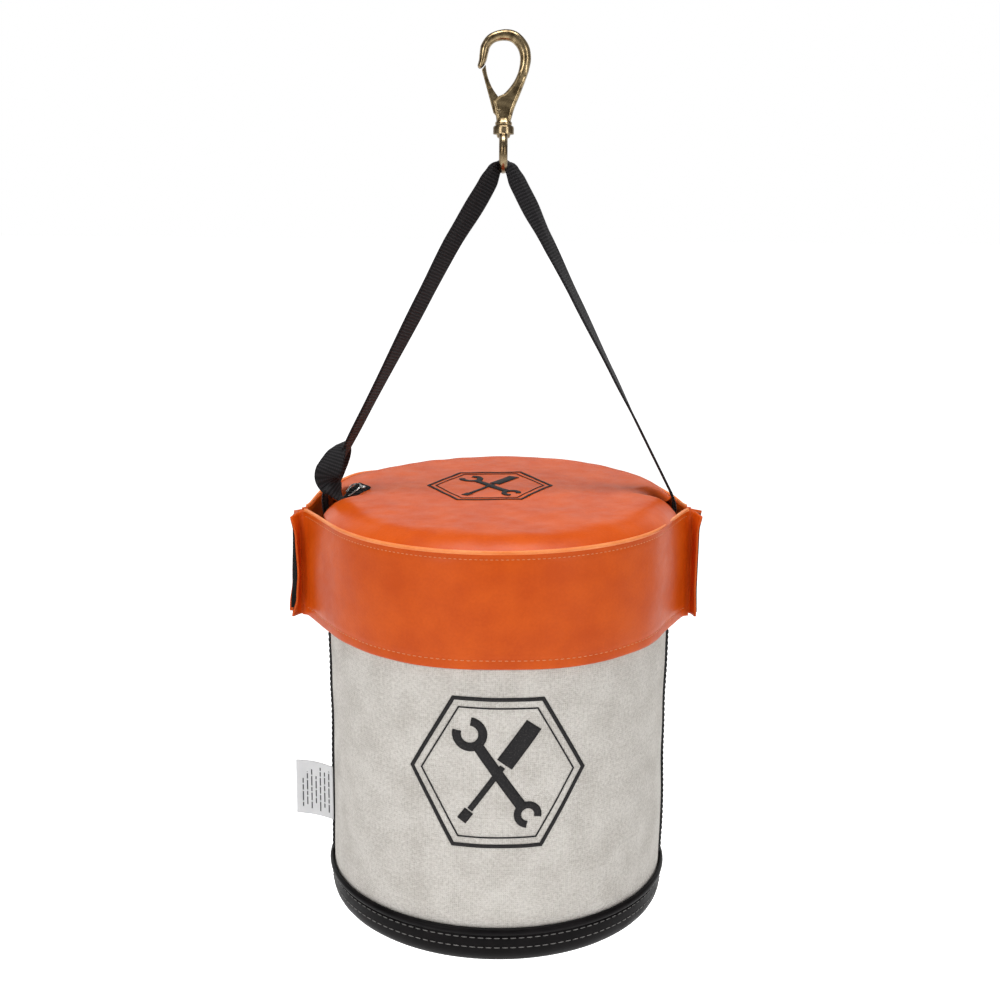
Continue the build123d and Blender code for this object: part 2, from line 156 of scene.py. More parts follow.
class Build:
    """Collects the faces of one piece."""

    def __init__(self):
        self.verts, self.faces, self.uvs = [], [], []

    def grid(self, rows, uv_rows, close_rows=False, close_columns=False):
        """Quads over rows of points. uv_rows has one more row or column where the grid closes."""
        start = len(self.verts)
        count = len(rows[0])
        for row in rows:
            self.verts.extend(row)
        for i in range(len(rows) if close_rows else len(rows) - 1):
            for j in range(count if close_columns else count - 1):
                below, above = i, (i + 1) % len(rows)
                left, right = j, (j + 1) % count
                self.faces.append((start + below * count + left, start + below * count + right,
                                   start + above * count + right, start + above * count + left))
                self.uvs.append((uv_rows[i][j], uv_rows[i][j + 1], uv_rows[i + 1][j + 1], uv_rows[i + 1][j]))

    def tube(self, rows, uv_rows, step):
        """A tube over closed rings, with both ends capped. step spaces the caps' UVs."""
        start, count = len(self.verts), len(rows[0])
        self.grid(rows, uv_rows, close_columns=True)
        for first in (start, start + (len(rows) - 1) * count):
            self.faces.append(tuple(range(first, first + count)))
            self.uvs.append(tuple((0.0, step * k) for k in range(count)))

    def band(self, rows, uv_rows, cap_uvs=((0, 0), (0, 1), (0, 2), (0, 3))):
        """A flat band, capped at both ends. Each row runs out along one face and back along the other."""
        start, count = len(self.verts), len(rows[0])
        self.grid(rows, uv_rows, close_columns=True)
        for first in (start, start + (len(rows) - 1) * count):
            for j in range(count // 2 - 1):
                self.faces.append((first + j, first + j + 1, first + count - 2 - j, first + count - 1 - j))
                self.uvs.append(cap_uvs)

    def stitch(self, centre, along, out, half_length, radius):
        """One thread stitch: a small capsule that lies along a seam."""
        along, out = along.normalized(), out.normalized()
        side = along.cross(out)
        rows, uv_rows = [], []
        for t, swell in ((-1.0, 0.15), (-0.8, 0.75), (0.0, 1.0), (0.8, 0.75), (1.0, 0.15)):
            ring = []
            for k in range(6):
                turn = 2 * pi * k / 6
                ring.append(tuple(centre + along * half_length * t
                                  + (out * cos(turn) + side * sin(turn)) * radius * swell))
            rows.append(ring)
            uv_rows.append([(half_length * t, radius * k) for k in range(7)])
        self.tube(rows, uv_rows, radius)

    def seam(self, path, outs, pitch, length, radius, lift=0.0):
        """Stitches at an even pitch along a path of points, standing out along the given normals."""
        travelled, due = 0.0, pitch / 2
        for a, b, out in zip(path, path[1:], outs):
            a, b = Vector(a), Vector(b)
            step = (b - a).length
            while step > 0 and travelled + step >= due:
                spot = a.lerp(b, (due - travelled) / step)
                self.stitch(spot + out * lift, b - a, out, length / 2, radius)
                due += pitch
            travelled += step

    def done(self, name, material, sharp=False):
        return finish_mesh(name, self.verts, self.faces, self.uvs, material, sharp)


def turned_rows(profile, columns, wobble=None):
    """A profile of (radius, height) points at each of so many turns about the swivel axis."""
    rows = []
    for c in range(columns):
        turn = 2 * pi * c / columns
        row = []
        for r, h in profile:
            move = wobble(turn, h) if wobble else 0.0
            row.append(((r + move) * cos(turn), (r + move) * sin(turn), h))
        rows.append(row)
    return rows


LATHE_COLUMNS = 192


def lathe(name, profile, material, wobble=None):
    """A closed profile turned about the swivel axis."""
    build = Build()
    lengths = [0.0]
    for a, b in zip(profile, profile[1:] + profile[:1]):
        lengths.append(lengths[-1] + hypot(b[0] - a[0], b[1] - a[1]))
    uv_rows = []
    for c in range(LATHE_COLUMNS + 1):
        uv_rows.append([(2 * pi * c / LATHE_COLUMNS * CANVAS_R, length) for length in lengths])
    build.grid(turned_rows(profile, LATHE_COLUMNS, wobble), uv_rows, close_rows=True, close_columns=True)
    return build.done(name, material)


def ease(t):
    """0 to 1, smooth at both ends."""
    t = min(1.0, max(0.0, t))
    return t * t * (3 - 2 * t)


def between(keys, x):
    """Smooth interpolation through a few (x, value) keys, in rising order of x."""
    if x <= keys[0][0]:
        return keys[0][1]
    for (x0, v0), (x1, v1) in zip(keys, keys[1:]):
        if x <= x1:
            return v0 + (v1 - v0) * ease((x - x0) / (x1 - x0))
    return keys[-1][1]


def curve_points(points, steps):
    """Points along a smooth curve through the given ones (Catmull-Rom)."""
    points = [Vector(p) for p in points]
    ends = [2 * points[0] - points[1]] + points + [2 * points[-1] - points[-2]]
    out = []
    for p0, p1, p2, p3 in zip(ends, ends[1:], ends[2:], ends[3:]):
        for k in range(steps):
            t = k / steps
            out.append(0.5 * ((2 * p1) + (p2 - p0) * t + (2 * p0 - 5 * p1 + 4 * p2 - p3) * t * t
                              + (3 * p1 - p0 - 3 * p2 + p3) * t ** 3))
    out.append(points[-1])
    return out


def add_sheet(build, surface, us, vs, thickness, uv):
    """A sheet with real thickness and closed edges. surface(u, v) gives a point and its normal."""
    rows = []
    for u in us:
        front = [surface(u, v) for v in vs]
        outer = [tuple(p + n * thickness / 2) for p, n in front]
        inner = [tuple(p - n * thickness / 2) for p, n in reversed(front)]
        rows.append(outer + inner)
    ring = list(vs) + list(reversed(vs)) + [vs[0]]
    build.band(rows, [[uv(u, v) for v in ring] for u in us])


def add_ribbon(build, path, acrosses, widths, thickness, folds=None, columns=14):
    """A webbing band along a path. acrosses are unit vectors across the band; folds crease it lengthwise."""
    upper = []
    for k in range(columns + 1):             # a quarter as thick at its two edges
        upper.append((-0.5 + k / columns, 0.5 * thickness * (1.0 if 0 < k < columns else 0.25)))
    section = upper + [(a, -b) for a, b in reversed(upper)]
    rows, uv_rows = [], []
    travelled = 0.0
    for i, (point, across, width) in enumerate(zip(path, acrosses, widths)):
        out = heading(path, i).cross(across).normalized()
        fold = folds[i] if folds else 0.0
        if i:
            travelled += (path[i] - path[i - 1]).length
        row = []
        for a, b in section:
            crease = fold * (abs(a) * 2 - 0.5)
            row.append(tuple(point + across * a * width + out * (b + crease)))
        rows.append(row)
        uv_rows.append([(travelled, (a + (0 if b > 0 else 2)) * WEB_W) for a, b in section + section[:1]])
    build.band(rows, uv_rows)


# ---------------------------------------------------------------- materials
def node(tree, kind, inputs=None, output=0, **settings):
    """Adds a shader node, wires or sets its inputs, and returns one of its outputs."""
    made = tree.nodes.new("ShaderNode" + kind)
    for key, value in settings.items():
        setattr(made, key, value)
    for key, value in (inputs or {}).items():
        if isinstance(value, bpy.types.NodeSocket):
            tree.links.new(value, made.inputs[key])
        else:
            made.inputs[key].default_value = value
    return made.outputs[output]


class Look:
    """A procedural material. place is its coordinate in millimetres, from UVs or from the object."""

    def __init__(self, name, uv=True, **constants):
        self.material = bpy.data.materials.new(name)
        self.material.use_nodes = True
        self.tree = self.material.node_tree
        self.shader = self.tree.nodes["Principled BSDF"]
        for key, value in constants.items():
            self.shader.inputs[key.replace("_", " ")].default_value = value
        coords = self.add("TexCoord", output="UV" if uv else "Object")
        self.place = coords if uv else self.add("VectorMath", {0: coords, "Scale": 1 / MM}, operation="SCALE")

    def add(self, kind, inputs=None, output=0, **settings):
        return node(self.tree, kind, inputs, output, **settings)

    def math(self, operation, a, b=0.0):
        return self.add("Math", {0: a, 1: b}, operation=operation)

    def times(self, a, b):
        return self.math("MULTIPLY", a, b)

    def plus(self, a, b):
        return self.math("ADD", a, b)

    def noise(self, size, detail=3.0, roughness=0.55):
        """Noise whose blotches are about that many millimetres across, as a factor about 0.5."""
        return self.add("TexNoise", {"Vector": self.place, "Scale": 1.0 / size, "Detail": detail,
                                     "Roughness": roughness})

    def axis(self, name):
        return self.add("SeparateXYZ", {0: self.place}, output=name)

    def wave(self, coordinate, period):
        """A sine of that period in millimetres, 0 to 1."""
        swing = self.math("SINE", self.times(coordinate, 2 * pi / period))
        return self.plus(self.times(swing, 0.5), 0.5)

    def blend_colour(self, factor, first, second):
        mix = self.tree.nodes.new("ShaderNodeMix")
        mix.data_type = "RGBA"
        for index, value in ((0, factor), (6, first), (7, second)):
            if isinstance(value, bpy.types.NodeSocket):
                self.tree.links.new(value, mix.inputs[index])
            else:
                mix.inputs[index].default_value = value
        return mix.outputs[2]

    def ramp(self, factor, low_value, high_value, from_low=0.3, from_high=0.7):
        return self.add("MapRange", {"Value": factor, "From Min": from_low, "From Max": from_high,
                                     "To Min": low_value, "To Max": high_value})

    def colour(self, value):
        self.tree.links.new(value, self.shader.inputs["Base Color"])

    def tones(self, factor, dark, light, start, end):
        """Colours the surface from dark to light as a factor goes from start to end."""
        self.colour(self.blend_colour(self.ramp(factor, 0.0, 1.0, start, end), dark, light))

    def rough(self, factor, smooth, dull):
        """Roughness that follows a factor."""
        self.tree.links.new(self.ramp(factor, smooth, dull), self.shader.inputs["Roughness"])

    def relief(self, *layers):
        """Adds layers of (height, depth in millimetres, strength), and gives the finished material."""
        normal = {}
        for height, depth, strength in layers:
            inputs = {"Height": height, "Distance": depth * MM, "Strength": strength}
            normal = {"Normal": self.add("Bump", {**inputs, **normal})}
        self.tree.links.new(normal["Normal"], self.shader.inputs["Normal"])
        return self.material


def rgb(red, green, blue):
    return (red, green, blue, 1.0)


def canvas_look(name):
    look = Look(name, Specular_IOR_Level=0.25)
    warp, weft = look.wave(look.axis("X"), 1.5), look.wave(look.axis("Y"), 1.5)
    weave = look.times(look.math("MAXIMUM", warp, weft), look.plus(look.noise(1.6), 0.5))
    slub = look.noise(2.2, detail=5.0, roughness=0.75)
    mottle = look.noise(26.0, detail=3.0, roughness=0.5)
    tone = look.plus(look.times(mottle, 0.3), look.times(slub, 0.7))
    base = look.blend_colour(look.ramp(tone, 0.0, 1.0, 0.40, 0.59), rgb(0.44, 0.405, 0.36),
                             rgb(0.70, 0.665, 0.615))
    thread = look.blend_colour(look.ramp(weave, 0.0, 0.30, 0.2, 0.9), base, rgb(0.82, 0.80, 0.765))
    look.colour(thread)
    look.rough(slub, 0.78, 0.95)
    return look.relief((weave, 0.2, 0.85), (slub, 0.5, 0.6))


def vinyl_look(name, deep, pale):
    """Vinyl with a fine embossed net."""
    look = Look(name, Specular_IOR_Level=0.19, Coat_Weight=0.03, Coat_Roughness=0.2)
    blotch = look.noise(34.0, detail=2.0)
    fleck = look.noise(2.2, detail=4.0)
    tone = look.plus(look.times(blotch, 0.7), look.times(fleck, 0.3))
    look.tones(tone, deep, pale, 0.38, 0.62)
    look.rough(look.noise(12.0), 0.30, 0.42)
    half_across, up = look.times(look.axis("X"), 0.5), look.axis("Y")
    lean_a, lean_b = look.plus(half_across, up), look.math("SUBTRACT", half_across, up)
    net = look.math("MAXIMUM", look.wave(lean_a, 2.4), look.wave(lean_b, 2.4))
    return look.relief((net, 0.05, 0.55), (look.noise(7.0, detail=2.0), 0.35, 0.5), (fleck, 0.05, 0.5))


def webbing_look(name):
    look = Look(name, Specular_IOR_Level=0.18, Sheen_Weight=0.03, Sheen_Roughness=0.5)
    ribs = look.wave(look.axis("X"), 2.5)
    yarns = look.wave(look.axis("Y"), 1.6)
    weave = look.times(ribs, look.plus(look.times(yarns, 0.5), 0.5))
    fuzz = look.noise(1.2, detail=4.0)
    lit = look.times(weave, look.plus(fuzz, 0.4))
    look.tones(lit, rgb(0.0025, 0.002, 0.0025), rgb(0.019, 0.017, 0.019), 0.15, 0.75)
    look.rough(fuzz, 0.5, 0.7)
    return look.relief((weave, 0.35, 0.9), (fuzz, 0.1, 0.5))


def moulding_look(name):
    look = Look(name, Specular_IOR_Level=0.09)
    grain = look.noise(1.1, detail=5.0, roughness=0.6)
    scuff = look.noise(18.0, detail=5.0, roughness=0.65)
    look.tones(scuff, rgb(0.0028, 0.0022, 0.0024), rgb(0.008, 0.0062, 0.0066), 0.45, 0.72)
    look.rough(scuff, 0.34, 0.52)
    return look.relief((grain, 0.12, 0.5))


def metal_look(name, dark, light, rough_low, rough_high, cast, uv=False):
    """Cast or drawn metal with a patina. cast is the depth of its grain in millimetres."""
    look = Look(name, uv, Metallic=1.0)
    patina = look.noise(6.0, detail=5.0, roughness=0.6)
    grain = look.noise(0.7, detail=4.0, roughness=0.6)
    look.tones(patina, dark, light, 0.38, 0.64)
    look.rough(grain, rough_low, rough_high)
    return look.relief((grain, cast, 0.6))


def thread_look(name, dark, light):
    look = Look(name, Specular_IOR_Level=0.3)
    ply = look.wave(look.plus(look.axis("X"), look.times(look.axis("Y"), 0.6)), 0.7)
    look.colour(look.blend_colour(ply, dark, light))
    look.rough(look.noise(0.8), 0.55, 0.8)
    return look.relief((ply, 0.08, 0.6))


def ink_look(name):
    look = Look(name, Specular_IOR_Level=0.3)
    wear = look.noise(1.3, detail=6.0, roughness=0.75)
    look.tones(wear, rgb(0.010, 0.009, 0.010), rgb(0.10, 0.09, 0.085), 0.52, 0.80)
    look.rough(wear, 0.5, 0.8)
    return look.relief((wear, 0.05, 0.5))


def tape_look(name):
    look = Look(name, Specular_IOR_Level=0.12, Sheen_Weight=0.04)
    loops = look.add("TexVoronoi", {"Vector": look.place, "Scale": 0.9})
    fuzz = look.noise(1.0, detail=5.0)
    look.colour(look.blend_colour(fuzz, rgb(0.003, 0.003, 0.003), rgb(0.016, 0.015, 0.016)))
    look.rough(fuzz, 0.75, 0.95)
    return look.relief((loops, 0.5, 0.9), (fuzz, 0.3, 0.7))


def board_look(name):
    look = Look(name, uv=False, Specular_IOR_Level=0.2)
    fibre = look.noise(3.0, detail=6.0, roughness=0.7)
    look.colour(look.blend_colour(fibre, rgb(0.22, 0.14, 0.075), rgb(0.36, 0.25, 0.15)))
    look.rough(fibre, 0.8, 0.95)
    return look.relief((fibre, 0.3, 0.6))


def tag_look(name):
    look = Look(name, Specular_IOR_Level=0.3)
    weave = look.math("MAXIMUM", look.wave(look.axis("X"), 0.5), look.wave(look.axis("Y"), 0.5))
    crease = look.noise(9.0, detail=2.0)
    look.colour(look.blend_colour(crease, rgb(0.70, 0.70, 0.72), rgb(0.84, 0.84, 0.85)))
    look.rough(crease, 0.5, 0.7)
    return look.relief((weave, 0.04, 0.5), (crease, 0.6, 0.6))


CANVAS = canvas_look("canvas_cloth")
VINYL = vinyl_look("vinyl_sheet", rgb(0.575, 0.072, 0.003), rgb(0.665, 0.096, 0.005))
# the welt's vinyl is paler than the sheet's: a painted highlight along the sewn edge's ridge
VINYL_PAINTED_HIGHLIGHT = vinyl_look("vinyl_edge_painted_highlight", rgb(0.82, 0.21, 0.05), rgb(0.92, 0.32, 0.11))
WEBBING = webbing_look("webbing")
MOULDING = moulding_look("moulding")
BRONZE = metal_look("bronze_cast", rgb(0.15, 0.105, 0.055), rgb(0.36, 0.275, 0.16), 0.17, 0.30, 0.06)
BRONZE_UV = metal_look("bronze_hook", rgb(0.13, 0.090, 0.045), rgb(0.46, 0.345, 0.19), 0.17, 0.30, 0.06,
                       uv=True)
STEEL = metal_look("spring_wire", rgb(0.32, 0.31, 0.30), rgb(0.52, 0.51, 0.50), 0.22, 0.4, 0.04)
HOOP = metal_look("hoop_wire", rgb(0.25, 0.24, 0.23), rgb(0.42, 0.40, 0.38), 0.3, 0.5, 0.06)
NICKEL = metal_look("snap_nickel", rgb(0.55, 0.54, 0.52), rgb(0.80, 0.79, 0.77), 0.14, 0.3, 0.03)
PALE_THREAD = thread_look("thread_pale", rgb(0.11, 0.105, 0.10), rgb(0.30, 0.29, 0.28))
LID_THREAD = thread_look("thread_orange", rgb(0.50, 0.11, 0.03), rgb(0.92, 0.42, 0.20))
BLACK_THREAD = thread_look("thread_black", rgb(0.006, 0.006, 0.006), rgb(0.04, 0.038, 0.04))
INK = ink_look("printed_ink")
TAPE = tape_look("loop_tape")
BOARD = board_look("pressed_board")
TAG = tag_look("tag_cloth_white")
TAG_INK = thread_look("tag_print", rgb(0.025, 0.026, 0.028), rgb(0.075, 0.078, 0.082))


def dress(node_names, material):
    """Gives carried-over CAD nodes their finished material."""
    for name in node_names:
        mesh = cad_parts[name].data
        mesh.materials.clear()
        mesh.materials.append(material)


# ---------------------------------------------------------------- camera, floor and light
CAMERA_H, CAMERA_Y = 547.4, -1051.9
PITCH, ROLL = 0.2128, 0.0095                 # radians: down, and round the line of sight
camera = bpy.data.objects.new("camera", bpy.data.cameras.new("camera"))
bpy.context.scene.collection.objects.link(camera)
camera.data.lens, camera.data.sensor_width = 50.0, 36.0
camera.data.clip_end = 50.0
camera.matrix_world = (Matrix.Translation((0, CAMERA_Y * MM, metres_up(CAMERA_H)))
                       @ Matrix.Rotation(pi / 2 - PITCH, 4, "X") @ Matrix.Rotation(ROLL, 4, "Z"))
bpy.context.scene.camera = camera
bpy.context.scene.view_settings.view_transform = "Standard"


def glow(tree, lighting, seen):
    """The strength of a glow: one value where it lights the object, another straight to the camera."""
    to_camera = node(tree, "LightPath", output="Is Camera Ray")
    return node(tree, "MapRange", {"Value": to_camera, "To Min": lighting, "To Max": seen})


WHITE = rgb(1.0, 1.0, 1.0)
world = bpy.data.worlds.new("studio")
bpy.context.scene.world = world
world.use_nodes = True
backdrop = world.node_tree.nodes["Background"]
backdrop.inputs["Color"].default_value = WHITE
world.node_tree.links.new(glow(world.node_tree, 0.25, 1.0), backdrop.inputs["Strength"])

STUDIO_FLOOR_H = -340.0                      # the bucket hangs well clear of the floor
STUDIO_REACH = 30000.0
floor_look = Look("floor_pale", uv=False, Specular_IOR_Level=0.1, Roughness=0.9, Emission_Color=WHITE)
floor_tones = floor_look.blend_colour(floor_look.noise(900.0), rgb(0.90, 0.90, 0.90), rgb(0.93, 0.93, 0.93))
floor_look.colour(floor_tones)
floor_look.tree.links.new(glow(floor_look.tree, 0.42, 0.95), floor_look.shader.inputs["Emission Strength"])
floor_build = Build()
floor_edges = (-STUDIO_REACH, 0.0, STUDIO_REACH)
floor_rows = [[(x, y, STUDIO_FLOOR_H) for x in floor_edges] for y in floor_edges]
floor_build.grid(floor_rows, [[(x, y) for x, y, h in row] for row in floor_rows])
floor = floor_build.done("studio_floor", floor_look.material, sharp=True)

LID_SPOT = Vector((0.0, 0.0, metres_up(LID_SEAM)))
SOFTBOXES = (                                # name, place in metres, width, height, power
    ("key_left", (-1.3, -1.8, 0.35), 0.7, 1.2, 15.5),
    ("fill_right", (1.5, -1.7, 0.2), 0.6, 1.2, 10.0),
    ("rim_left", (-1.1, 1.25, 0.0), 0.5, 1.6, 3.0),
    ("rim_right", (1.1, 1.25, 0.0), 0.5, 1.6, 3.0),
    ("overhead", (0.0, -0.2, 1.15), 1.3, 0.5, 19.0),
    ("behind", (0.0, 2.4, 0.65), 2.6, 1.0, 5.0))
for name, place, width, height, power in SOFTBOXES:
    lamp = bpy.data.lights.new(name, "AREA")
    lamp.shape, lamp.size, lamp.size_y = "RECTANGLE", width, height
    lamp.energy = power
    light = bpy.data.objects.new(name, lamp)
    bpy.context.scene.collection.objects.link(light)
    light.location = place
    light.rotation_euler = (LID_SPOT - Vector(place)).to_track_quat("-Z", "Y").to_euler()
    light.visible_camera = False


# ---------------------------------------------------------------- canvas wall
def canvas_dent(turn, height):
    """How far the cloth stands out of round, in millimetres."""
    spot = Vector((cos(turn) * 2.1, sin(turn) * 2.1, height * 0.011))
    soft = 1.5 * noise.noise(spot) + 0.55 * noise.noise(spot * 2.7 + Vector((5.0, 1.0, 2.0)))
    held = ease((height - BAND_TOP) / 30.0) * ease((CANVAS_HIGH - height) / 40.0)
    return soft * held - 0.3


def on_canvas(turn, height, lift=0.0):
    r = CANVAS_R + canvas_dent(turn, height) + lift
    return Vector((r * cos(turn), r * sin(turn), height))


canvas_profile = [(CANVAS_R, h) for h in spread(CANVAS_LOW, CANVAS_HIGH, 60)]
canvas_profile += [(CANVAS_R - CANVAS_T, h) for h in spread(CANVAS_HIGH, CANVAS_LOW, 60)]
canvas_shell = lathe("canvas_shell", canvas_profile, CANVAS, wobble=canvas_dent)
attach(canvas_shell, "bucket", "canvas", "canvas_wall")

# the rolled hem inside the rim, over the hoop
HEM_OUT, HEM_IN = CANVAS_R - CANVAS_T - 0.1, CANVAS_R - CANVAS_T - 4.0
HEM_LOW, HEM_FOLD = low("rim_hem").z, CANVAS_HIGH - 1.6
hem_profile = [(HEM_OUT, h) for h in spread(HEM_LOW, HEM_FOLD, 20)]
for k in range(1, 9):
    turn = pi * k / 9
    hem_profile.append(((HEM_OUT + HEM_IN) / 2 + (HEM_OUT - HEM_IN) / 2 * cos(turn),
                        HEM_FOLD + 1.5 * sin(turn)))
for k, h in enumerate(spread(HEM_FOLD, HEM_LOW, 20)):
    hem_profile.append((HEM_IN + 0.25 * sin(pi * k / 10) ** 2, h))
attach(lathe("hem_roll", hem_profile, CANVAS, wobble=canvas_dent), "bucket", "canvas", "rim_hem")

# the cloth bottom on its board
CLOTH_R = high("canvas_bottom").x - 0.4
AXIS_R = 0.1                                 # a turned piece that is closed at the middle starts here
cloth_radii = [AXIS_R] + spread(0.0, CLOTH_R, 40)[1:]


def cloth_height(r):
    """The cloth bottom's upper face: low in the middle, gathered at the edge."""
    swell = 0.5 * (r / CLOTH_R) ** 2 + 0.35 * exp(-((r - CLOTH_R + 6.0) / 2.5) ** 2)
    return high("canvas_bottom").z - 0.5 + swell


cloth_profile = [(r, cloth_height(r)) for r in cloth_radii]
cloth_profile += [(r, low("canvas_bottom").z + 0.1) for r in reversed(cloth_radii)]
attach(lathe("cloth_floor", cloth_profile, CANVAS), "bucket", "canvas", "canvas_bottom")

# ---------------------------------------------------------------- base band
BEAD_R = 3.0                                 # half the height of the rolled piping
BEAD_X = CANVAS_R + 0.9                      # the piping's middle
GROOVE = 0.7                                 # depth of the step under the piping
FACE_TOP = BAND_TOP - 7.8                    # top of the band's plain face
EDGE_R = 14.0                                # rounding of the cup's lower edge
INNER_R = EDGE_R - 1.4                       # and inside it, the cup's thickness less
CUP_FLOOR = low("base_board").z
CUP_R = CANVAS_R - INNER_R                   # where the cup's floor ends inside
band = []
for k in range(11):                          # the piping, from its inside top outwards and down
    turn = pi * (0.5 - k / 10)
    band.append((BEAD_X + (PIPING_R - BEAD_X) * cos(turn), BAND_TOP - BEAD_R + BEAD_R * sin(turn)))
band += [(BAND_R - GROOVE, BAND_TOP - 6.4), (BAND_R - GROOVE + 0.1, BAND_TOP - 7.2), (BAND_R, FACE_TOP)]
for k, h in enumerate(spread(FACE_TOP, EDGE_R, 8)[1:-1], 1):
    band.append((BAND_R + 0.15 * sin(pi * k / 8), h))
for turn in spread(0.0, pi / 2, 8):
    band.append((BAND_R - EDGE_R + EDGE_R * cos(turn), EDGE_R - EDGE_R * sin(turn)))
band += [(r, 0.0) for r in (90.0, 45.0, AXIS_R)]
band += [(r, CUP_FLOOR) for r in (AXIS_R, 45.0, 90.0, CUP_R - 0.2)]
for turn in spread(0.0, pi / 2, 6):
    band.append((CUP_R + INNER_R * sin(turn), CUP_FLOOR + INNER_R - INNER_R * cos(turn)))
band += [(CANVAS_R, 18.0), (CANVAS_R, BAND_TOP - 4.0)]
attach(lathe("base_band", band, MOULDING), "bucket", "black_moulding", "base_cup", "base_piping")

band_seams = Build()
for height in (23.0, 15.5):
    ring = [Vector((BAND_R * cos(t), BAND_R * sin(t), height)) for t in spread(0.0, 2 * pi, 240)]
    outs = [Vector((p.x, p.y, 0)).normalized() for p in ring]
    band_seams.seam(ring, outs, 6.0, 4.4, 0.4, lift=0.15)
attach(band_seams.done("band_stitching", PALE_THREAD), "bucket", "black_moulding")

# ---------------------------------------------------------------- side webbings
CLOTH_GAP = 0.1                              # between the canvas and what is sewn or printed on it
WEB_TURN = WEB_W / 2 / CANVAS_R              # half the webbing's width, as an angle
web_section = [(a, 1.0) for a in spread(-1, 1, 12)] + [(a, 0.0) for a in spread(1, -1, 12)]
for side, side_name in ((1, "right"), (-1, "left")):
    cad_web = f"side_webbing_{side_name}"
    centre = 0.0 if side > 0 else pi
    web_heights = spread(low(cad_web).z, high(cad_web).z, 64)
    rows, uv_rows = [], []
    for h in web_heights:
        row = []
        for a, b in web_section:
            edge = 0.35 if abs(a) == 1 else 1.0
            row.append(tuple(on_canvas(centre + a * WEB_TURN, h, CLOTH_GAP + b * (WEB_T - CLOTH_GAP) * edge)))
        rows.append(row)
        uv_rows.append([(h, (a + (0 if b else 2)) * WEB_W / 2) for a, b in web_section + web_section[:1]])
    web = Build()
    web.band(rows, uv_rows)
    attach(web.done(f"side_band_{side_name}", WEBBING), "bucket", "black_webbing", cad_web)
    sewn = Build()
    for edge in (-0.78, 0.78):
        line = [on_canvas(centre + edge * WEB_TURN, h, WEB_T) for h in web_heights]
        sewn.seam(line, [Vector((side, 0, 0))] * len(line), 4.6, 3.2, 0.4, lift=0.05)
    attach(sewn.done(f"side_stitching_{side_name}", BLACK_THREAD), "bucket", "black_webbing")

# ---------------------------------------------------------------- lid
CROWN_T, SKIRT_T = 1.6, 1.9
CROWN_RISE = 16.0                            # of the lid top above its front seam, on the swivel axis
CROWN_LEAN = 0.048
SEAM_LIFT = 12.0                             # how much higher the seam sits at the back
TIP_SHIFT = {-1: -2.5, 1: -3.0}              # how far the left and right tips sit along X
CORNER_LIFT = {-1: 8.0, 1: 3.0}              # how far the seam is pushed up behind each tip
LID_TILT = 0.011                             # the lid sits a little higher on its right
SHOULDER = 26.0                              # width of the crown's rounded edge
NOTCH_DEPTH, NOTCH_HALF = 13.0, 19.0         # where a strap leg passes the crown's edge


def crown_edge(turn):
    """Radius of the crown's sewn edge, drawn in where a strap leg goes down."""
    y = LID_R * sin(turn)
    return LID_R - NOTCH_DEPTH * ease(1.35 * (1 - abs(y) / NOTCH_HALF))


def seam_height(x, y):
    """Height of the lid's sewn edge: it climbs to the back, and is pushed up behind each side tip."""
    back = min(1.0, max(0.0, y / LID_R))
    climb = 0.5 * ease(back) + 0.5 * (1 - (1 - back) ** 2.2)
    pushed = ease(y / 25.0) * ease((130.0 - y) / 80.0) * ease((abs(x) - 60.0) / 60.0)
    level = LID_SEAM + LID_TILT * x + ease((y + PLAN_R) / PLAN_R)
    return level + (SEAM_LIFT - 1.0) * climb + CORNER_LIFT[1 if x > 0 else -1] * pushed


def crown_height(x, y):
    """Height of the lid's top: level in the middle, rounded to its sewn edge, soft and puckered."""
    turn, r = atan2(y, x), hypot(x, y)
    inward = max(0.0, crown_edge(turn) - r)
    seam = seam_height(x, y)
    top = LID_SEAM + CROWN_RISE + CROWN_LEAN * y + LID_TILT * x - 0.8 * (r / LID_R) ** 2 - seam
    rounded = 1 - max(0.0, 1 - inward / SHOULDER) ** 2.7
    flat = ease(inward / 16.0)
    soft = 0.9 * noise.noise(Vector((x, y, 0)) / 46.0) + 0.4 * noise.noise(Vector((x, y * 1.4, 30)) / 17.0)
    pucker = 0.55 * noise.noise(Vector((cos(turn) * 7.0, sin(turn) * 7.0, inward * 0.02)))
    edge = ease(inward / 8.0) * ease((40.0 - inward) / 30.0)
    return seam + top * rounded + soft * flat + pucker * edge


crown = Build()
RINGS, SPOKES = 72, 240
rows, uv_rows = [], []
for i in range(RINGS + 1):
    share = 1 - (1 - i / RINGS) ** 1.25 if i else 0.0
    row, uv_row = [], []
    for j in range(SPOKES + 1):
        turn = 2 * pi * j / SPOKES
        r = max(0.6, crown_edge(turn) * share)
        x, y = r * cos(turn), r * sin(turn)
        if j < SPOKES:
            row.append((x, y, crown_height(x, y)))
        uv_row.append((x, y))
    rows.append(row)
    uv_rows.append(uv_row)
crown.grid(rows, uv_rows, close_columns=True)
hub = len(crown.verts)
crown.verts.append((0.0, 0.0, crown_height(0.0, 0.0)))
for j in range(SPOKES):
    crown.faces.append((hub, j, (j + 1) % SPOKES))
    crown.uvs.append(((0, 0), uv_rows[0][j], uv_rows[0][j + 1]))
lid_crown = crown.done("lid_crown", VINYL)
if lid_crown.data.polygons[0].normal.z < 0:
    lid_crown.data.flip_normals()
crown_body = lid_crown.modifiers.new("thickness", "SOLIDIFY")
crown_body.thickness, crown_body.offset = CROWN_T * MM, -1.0
attach(lid_crown, "lid", "orange_vinyl", "lid_top")


def outline_radius(turn, r):
    """The skirt in plan: a circle drawn out to a tip on each side."""
    from_x = abs(atan2(sin(turn), abs(cos(turn))))
    if from_x < TIP_ANGLE:
        return r / cos(TIP_ANGLE - from_x)
    return r


